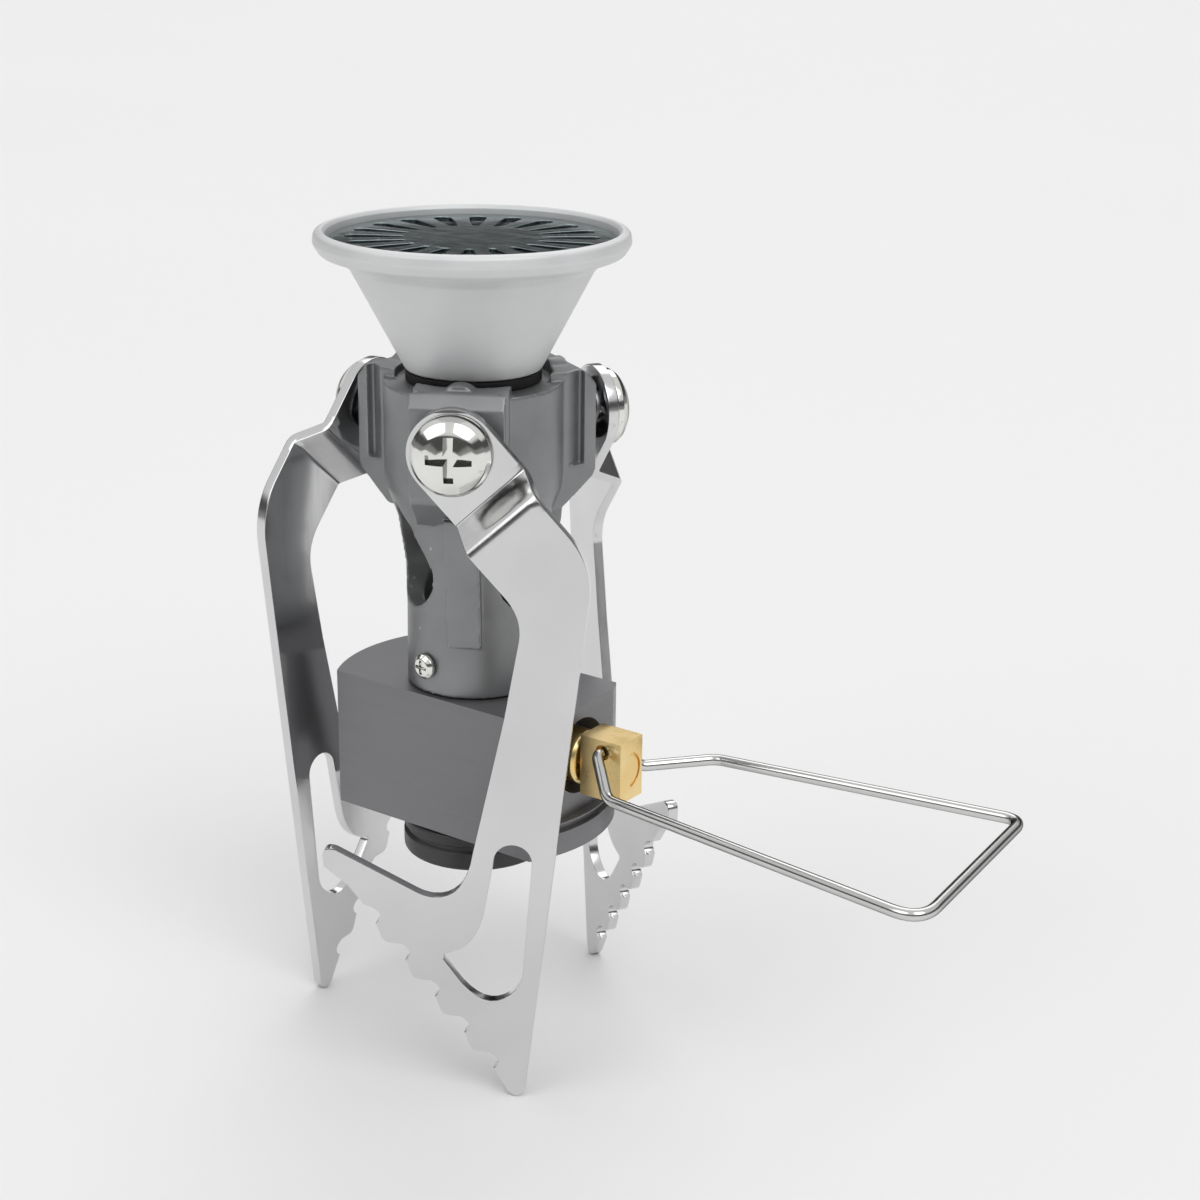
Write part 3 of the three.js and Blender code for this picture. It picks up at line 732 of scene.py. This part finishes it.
def arm_outline():
    """The arm's section in (radius, height)."""
    return fillet([
        (0, ARM_TOP), (0, ARM_BOTTOM), (9.9, ARM_BOTTOM), (PAD_RADIUS - 0.4, PAD_BOTTOM),
        (PAD_RADIUS, PAD_BOTTOM + 0.8), (PAD_RADIUS, ARM_TOP - 1.8), (PAD_RADIUS - 1.5, ARM_TOP),
    ], [0, 0, 0.5, 0.4, 0.3, 0.5, 0.6])


def rib_outline():
    low = RIB_BOTTOM
    return [(0, 50), (0, low), (9.7, low), (9.9, low + 1), (10.4, 40), (11.6, 46), (12.1, 50)]


def sideways(azimuth):
    """Stands a (radius, height) section up at an azimuth, with its thickness across the arm."""
    return azimuth_turn(azimuth) @ Matrix.Rotation(math.pi / 2, 4, "X")


def side_pocket(side, azimuth):
    """A wedge-shaped pocket in an arm's side, open at the top and deepest behind the pad."""
    edge = PAD_HALF_WIDTH + 0.2
    outline = [
        (POCKET_INNER, side * edge), (POCKET_OUTER, side * edge),
        (POCKET_OUTER, side * (PAD_HALF_WIDTH - POCKET_DEPTH)),
    ]
    return prism("pocket", outline, PAD_BOTTOM + 1.7, 90, azimuth_turn(azimuth))


def support_bracket():
    body = turned("bracket", [
        (0, TUBE_BOTTOM), (TUBE_RADIUS, TUBE_BOTTOM), (TUBE_RADIUS - 0.1, 36), (10.0, 47.5),
        (HEAD_RADIUS - 0.2, 52), (HEAD_RADIUS, 54), (HEAD_RADIUS, HEAD_TOP), (0, HEAD_TOP),
    ], 160)
    for azimuth in ARM_AZIMUTHS:
        add(body, prism("arm", arm_outline(), -PAD_HALF_WIDTH, PAD_HALF_WIDTH, sideways(azimuth)))
        add(body, prism("rib", rib_outline(), -RIB_HALF_WIDTH, RIB_HALF_WIDTH, sideways(azimuth)))
        add(body, rod("hump", HUMP_RADIUS, 9, 12.6, 48, outward(ARM_TOP - 1.8, azimuth)))
    for azimuth in ARM_AZIMUTHS:
        for side in (-1, 1):
            cut(body, side_pocket(side, azimuth))
        cut(body, rod("pivot", SCREW_SHANK_RADIUS + SCREW_CLEARANCE, 9.6, 30, 48, outward(PIVOT_Z, azimuth)))
    cut(body, rod("bore", TUBE_BORE, TUBE_BOTTOM - 5, SOCKET_FLOOR + 1, 96))
    cut(body, rod("socket", SOCKET_RADIUS, SOCKET_FLOOR, 90, 96))
    cut(body, rod("seat", SEAT_RADIUS, HEAD_TOP, 90, 96))
    for azimuth in AIR_HOLE_AZIMUTHS:
        drop = teardrop(AIR_HOLE_Z, AIR_HOLE_RADIUS, AIR_HOLE_TIP)
        cut(body, prism("air", drop, 0.5, 14, facing_out(0, azimuth)))
    cut(body, rod("screw", 1.2, 3, 30, 32, outward(TUBE_SCREW_Z, TUBE_SCREW_AZIMUTH)))
    remesh = body.modifiers.new("remesh", "REMESH")
    remesh.mode = "VOXEL"
    remesh.voxel_size = CASTING_VOXEL
    smooth = body.modifiers.new("smooth", "SMOOTH")
    smooth.factor = 0.5
    smooth.iterations = 2
    applied(body)
    return body


# ---------------------------------------------------------------- screws and washers
def phillips_cutter(reach, width, low, high, matrix):
    across = prism("across", [(-reach, -width), (reach, -width), (reach, width), (-reach, width)], low, high)
    down = prism("down", [(-width, -reach), (width, -reach), (width, reach), (-width, reach)], low, high)
    cross = add(across, down)
    cross.data.transform(matrix)
    return cross


def pivot_screw(azimuth):
    base = SCREW_HEAD_BASE
    r = SCREW_HEAD_RADIUS
    matrix = outward(PIVOT_Z, azimuth)
    outline = fillet([
        (0, 10.2), (1.4, 10.2), (SCREW_SHANK_RADIUS, 10.6), (SCREW_SHANK_RADIUS, base), (r, base),
        (r, base + 0.8), (r - 0.5, base + 1.5), (r - 1.7, base + 2.3), (1.5, base + 2.9), (0, base + 3.0),
    ], [0, 0.1, 0.1, 0, 0.15, 0.25, 0.6, 2.0, 2.0, 0], 6, False)
    screw = turned("pivot_screw", outline, 96, matrix)
    cut(screw, phillips_cutter(2.9, 0.62, base + 1.2, base + 6, matrix))
    return bevelled(screw, 0.12, 2, 40)


def tube_screw():
    head = TUBE_RADIUS + 0.2
    matrix = outward(TUBE_SCREW_Z, TUBE_SCREW_AZIMUTH)
    outline = fillet([
        (0, 7.3), (0.9, 7.3), (0.9, head), (1.7, head), (1.7, head + 0.45), (1.2, head + 0.95),
        (0, head + 1.1),
    ], [0, 0.1, 0, 0.1, 0.2, 0.4, 0], 5, False)
    screw = turned("tube_screw", outline, 64, matrix)
    cut(screw, phillips_cutter(1.0, 0.24, head + 0.4, head + 3, matrix))
    return bevelled(screw, 0.05, 2, 40)


def wave_washer(azimuth):
    low = PAD_RADIUS + 0.3
    high = SHEET_INNER - 0.3
    middle = (low + high) / 2
    half = 0.3
    corners = [(2.05, middle - half), (4.2, middle - half), (4.2, middle + half), (2.05, middle + half)]
    washer = turned("washer", fillet(corners, 0.1, 2), 96)
    swing = (high - low) / 2 - half
    for vertex in washer.data.vertices:
        angle = math.atan2(vertex.co.y, vertex.co.x)
        vertex.co.z += swing * math.cos(3 * angle)
    washer.data.transform(outward(PIVOT_Z, azimuth))
    return washer


# ---------------------------------------------------------------- burner
def burner_cup():
    spigot = SOCKET_RADIUS - 0.3
    outline = fillet([
        (7.0, SOCKET_FLOOR + 0.4), (spigot, SOCKET_FLOOR + 0.4), (spigot, CUP_BOTTOM),
        (CUP_BASE_RADIUS, CUP_BOTTOM), (15.85, 80.8), (17.2, 81.9), (19.6, 82.7), (LIP_RADIUS, 84.0),
        (LIP_RADIUS - 0.2, 85.3), (19.2, LIP_TOP), (18.75, 85.1), (18.7, 83.5), (17.6, 83.2), (15.2, 82.2),
        (14.4, 80.9), (CUP_BASE_RADIUS - 1.4, CUP_BOTTOM + 0.7), (7.0, CUP_BOTTOM - 0.5),
    ], [0.1, 0.3, 0, 0.5, 1.6, 1.2, 1.0, 0.9, 0.7, 0.5, 0.3, 0.2, 0.3, 0.8, 0.6, 0.3, 0.3], 6)
    cup = turned("cup", outline, 160)
    # Faces inside the lip above z 83 take the second material, a near-black painted shade.
    for face in cup.data.polygons:
        inside = math.hypot(face.center.x, face.center.y) < PAINTED_SHADE_RADIUS and face.center.z > 83
        face.material_index = 1 if inside else 0
    return cup


# Painted shade: this black ring fills the gap between the cup base and the bracket head, where only a shaded
# gap shows.
def neck_ring():
    outline = fillet([
        (SOCKET_RADIUS - 0.15, HEAD_TOP + 0.1), (CUP_BASE_RADIUS, HEAD_TOP + 0.1),
        (CUP_BASE_RADIUS, CUP_BOTTOM - 0.15), (SOCKET_RADIUS - 0.15, CUP_BOTTOM - 0.15),
    ], 0.2, 4)
    return turned("neck", outline, 128)


def swirl_slot(angle):
    half = 0.075
    points = [
        (9.0, -0.05), (12.0, -half), (15.8, -half), (16.5, 0),
        (15.8, half), (12.0, half), (9.0, 0.05), (8.6, 0),
    ]
    ring = []
    for radius, turn in points:
        ring.append(Vector((radius * math.cos(angle + turn), radius * math.sin(angle + turn))))
    return fillet(ring, [0.3, 2, 0.8, 0.8, 0.8, 2, 0.3, 0.4], 3)


def flame_plate():
    slots = [swirl_slot(2 * math.pi * k / PLATE_SLOTS) for k in range(PLATE_SLOTS)]
    disc = plate("disc", circle(PLATE_RADIUS, 160), slots, 0.7, 0.12)
    disc.data.transform(Matrix.Translation((0, 0, PLATE_TOP - 0.4)))
    return disc


# ---------------------------------------------------------------- pot supports
def quadratic(start, control, end, steps=8):
    """Points along a parabola after its start point."""
    a, b, c = Vector(start), Vector(control), Vector(end)
    result = []
    for k in range(1, steps + 1):
        t = k / steps
        result.append(a * (1 - t) ** 2 + b * 2 * t * (1 - t) + c * t * t)
    return result


def support_outline():
    across = LEG_ANGLE + math.pi / 2
    points = []
    arc_steps = 40
    for k in range(arc_steps + 1):
        angle = across + math.pi * k / arc_steps
        points.append(Vector((LEG_HALF_WIDTH * math.cos(angle), LEG_HALF_WIDTH * math.sin(angle))))
    points.append(Vector((6.9, -16.5)))
    points += quadratic((6.9, -16.5), (9.4, -19.2), (8.9, -22.4))
    points += [Vector((7.0, -33.0)), Vector((2.9, -51.8))]
    points += quadratic((2.9, -51.8), (1.9, -58.4), (-2.4, -58.2))
    points += quadratic((-2.4, -58.2), (-3.6, -58.1), (-4.7, -57.5), 4)
    points.append(Vector((-15.0, -52.2)))
    points += quadratic((-15.0, -52.2), (-16.7, -51.6), (-16.8, -53.2), 6)
    points += [Vector((-16.7, -54.7)), Vector((-13.6, -57.2)), Vector((-11.6, -59.8))]
    corner = Vector((-10.2, -61.6))
    for k in range(TOOTH_NOTCHES):
        points += notch(corner, k < TOOTH_NOTCHES - 1)
        corner = corner + TOOTH_STEP
    points.append(Vector((7.3, -86.2)))
    points += quadratic((7.3, -86.2), (8.9, -88.2), (9.7, -85.8))
    points.append(Vector((17.6, -17.4)))
    points += quadratic((17.6, -17.4), (18.3, -12.0), (14.7, -8.1))
    return points


def notch(corner, has_crest):
    """A rounded bite below one tooth, then the next tooth's crest."""
    start = corner + Vector((-0.3, 1.4))
    end = corner + Vector((0.2, -0.9))
    points = [start] + quadratic(start, corner + Vector((1.7, 0.3)), end, 7)
    if has_crest:
        crest = corner + Vector((0.8, -2.5))
        points.append(crest)
        points += quadratic(crest, corner + Vector((1.1, -3.5)), corner + Vector((1.9, -3.6)), 5)
    return points


def boot_slot():
    points = []
    arc_steps = 16
    for k in range(arc_steps + 1):
        angle = (math.pi - 0.2) * k / arc_steps
        points.append(Vector((8.1 + 2.5 * math.cos(angle), -52.8 + 2.5 * math.sin(angle))))
    points.append(Vector((4.4, -59.6)))
    points += quadratic((4.4, -59.6), (3.5, -65.6), (-1.1, -66.5))
    points += quadratic((-1.1, -66.5), (-1.4, -66.9), (-1.0, -67.3), 3)
    points.append(Vector((1.4, -70.6)))
    points += quadratic((1.4, -70.6), (5.2, -75.0), (8.6, -71.0))
    points += quadratic((8.6, -71.0), (9.3, -70.0), (9.4, -68.6), 4)
    return points


def joggle_centre(s):
    """The bent sheet's middle plane: distance out and slope, at a distance along the leg."""
    rise = JOGGLE_BEND * (1 - math.cos(JOGGLE_SLOPE))
    run = JOGGLE_BEND * math.sin(JOGGLE_SLOPE)
    straight = (JOGGLE - 2 * rise) / math.tan(JOGGLE_SLOPE)
    start = JOGGLE_MIDDLE - straight / 2 - run
    base = SHEET_INNER + SHEET / 2
    along = s - start
    if along <= 0:
        return base, 0.0
    if along < run:
        angle = math.asin(along / JOGGLE_BEND)
        return base + JOGGLE_BEND * (1 - math.cos(angle)), math.tan(angle)
    if along < run + straight:
        return base + rise + (along - run) * math.tan(JOGGLE_SLOPE), math.tan(JOGGLE_SLOPE)
    left = 2 * run + straight - along
    if left > 0:
        angle = math.asin(left / JOGGLE_BEND)
        return base + JOGGLE - JOGGLE_BEND * (1 - math.cos(angle)), math.tan(angle)
    return base + JOGGLE, 0.0


def pot_support(azimuth):
    hole = circle(SCREW_SHANK_RADIUS + SCREW_CLEARANCE, 40)
    sheet = plate("support", support_outline(), [boot_slot(), hole], SHEET, 0.16)
    along = Vector((math.cos(LEG_ANGLE), math.sin(LEG_ANGLE), 0))
    bm = bmesh.new()
    bm.from_mesh(sheet.data)
    for k in range(BEND_LINES):
        place = along * (BEND_ZONE_START + BEND_ZONE_LENGTH * k / (BEND_LINES - 1))
        everything = bm.verts[:] + bm.edges[:] + bm.faces[:]
        bmesh.ops.bisect_plane(bm, geom=everything, plane_co=place, plane_no=along, dist=1e-5)
    for vertex in bm.verts:
        s = vertex.co.dot(along)
        height, slope = joggle_centre(s)
        tilt = vertex.co.z / math.hypot(1, slope)
        vertex.co -= along * (slope * tilt)
        vertex.co.z = height + tilt
    bm.normal_update()
    for face in bm.faces:
        face.material_index = 0 if abs(face.normal.z) > FLAT_FACE else 1
    bm.to_mesh(sheet.data)
    bm.free()
    sheet.data.transform(facing_out(PIVOT_Z, azimuth))
    return sheet


# ---------------------------------------------------------------- assembly
BODY = "stove_body"
finished(canister_collar(), BODY, "canister_collar", [COLLAR])
finished(canister_seal(), BODY, "canister_seal", [RUBBER])
finished(valve_pin(), BODY, "valve_pin", [BRASS])
finished(filter_screen(), BODY, "filter_screen", [BRASS])
finished(valve_body(), BODY, "valve_body", [BLOCK])
finished(gas_jet(), BODY, "gas_jet", [BRASS])
finished(gland_nut(), BODY, "gland_nut", [BRASS])
finished(spindle_o_ring(), BODY, "spindle_o_ring", [RUBBER])
finished(valve_spindle(), "spindle", "valve_spindle", [BRASS])
finished(knob_block(), "spindle", "knob_block", [BRASS])
finished(wire_handle(), "handle", "wire_handle", [WIRE])
finished(support_bracket(), BODY, "support_bracket", [CAST])
finished(tube_screw(), BODY, "tube_screw", [NICKEL])
# The black neck ring stands in as painted shade for the gap under the cup.
finished(neck_ring(), BODY, "neck_ring", [RUBBER])
finished(burner_cup(), BODY, "burner_cup", [CUP, PAINTED_RIM_SHADE])
finished(flame_plate(), BODY, "flame_plate", [FLAME])
for number, azimuth in enumerate(ARM_AZIMUTHS, 1):
    faces = [SUPPORT_FACE, SUPPORT_BRIGHT]
    finished(pot_support(azimuth), f"support_{number}", f"pot_support_{number}", faces)
    finished(wave_washer(azimuth), BODY, f"wave_washer_{number}", [SPRING])
    finished(pivot_screw(azimuth), BODY, f"pivot_screw_{number}", [NICKEL])


# ---------------------------------------------------------------- stage, light and camera
def floor():
    m = Nodes("floor_white", (0.86, 0.86, 0.86), 0.0, 0.7)
    m.set("Roughness", m.ramp(m.noise(4, 2), 0.65, 0.75))
    side = FLOOR_HALF_SIDE
    outline = [(-side, -side), (side, -side), (side, side), (-side, side)]
    lowest = cad_box[0].z / MM
    slab = prism("floor", outline, lowest - FLOOR_THICKNESS, lowest - FLOOR_GAP)
    slab.data.transform(Matrix.Scale(MM, 4))
    slab.data.materials.append(m.material)


def soft_sun(name, azimuth, elevation, strength):
    data = bpy.data.lights.new(name, "SUN")
    data.energy = strength
    data.angle = math.radians(SUN_SPREAD)
    light = bpy.data.objects.new(name, data)
    tilt = math.radians(90 - elevation)
    light.rotation_euler = (tilt, 0, math.radians(azimuth + 90))
    bpy.context.scene.collection.objects.link(light)


def surroundings():
    world = bpy.data.worlds.new("studio")
    bpy.context.scene.world = world
    world.use_nodes = True
    tree = world.node_tree
    background = tree.nodes["Background"]
    place = tree.nodes.new("ShaderNodeTexCoord")
    split = tree.nodes.new("ShaderNodeSeparateXYZ")
    tree.links.new(place.outputs["Generated"], split.inputs["Vector"])
    ramp = tree.nodes.new("ShaderNodeValToRGB")
    tree.links.new(split.outputs["Z"], ramp.inputs["Fac"])
    stops = ramp.color_ramp.elements
    stops[0].position = 0.0
    stops[1].position = 1.0
    for place_up, level in SKY_LEVELS:
        if place_up in (0.0, 1.0):
            stop = stops[0] if place_up == 0.0 else stops[-1]
        else:
            stop = stops.new(place_up)
        stop.color = (level, level, level, 1)
    tree.links.new(ramp.outputs["Color"], background.inputs["Color"])
    background.inputs["Strength"].default_value = SKY_STRENGTH


def camera():
    data = bpy.data.cameras.new("camera")
    data.lens = CAMERA_LENS
    data.sensor_width = 36
    data.clip_start = 0.01
    data.clip_end = 20
    view = bpy.data.objects.new("camera", data)
    aim = CAMERA_AIM - CAMERA_PLACE
    turn = aim.to_track_quat("-Z", "Y").to_matrix().to_4x4()
    roll = Matrix.Rotation(CAMERA_ROLL, 4, "Z")
    view.matrix_world = Matrix.Translation(CAMERA_PLACE * MM) @ turn @ roll
    bpy.context.scene.collection.objects.link(view)
    bpy.context.scene.camera = view


floor()
soft_sun("key", azimuth=-25, elevation=50, strength=0.9)
soft_sun("fill", azimuth=-110, elevation=40, strength=0.4)
soft_sun("back", azimuth=120, elevation=45, strength=0.4)
surroundings()
camera()
bpy.context.scene.view_settings.view_transform = "Standard"
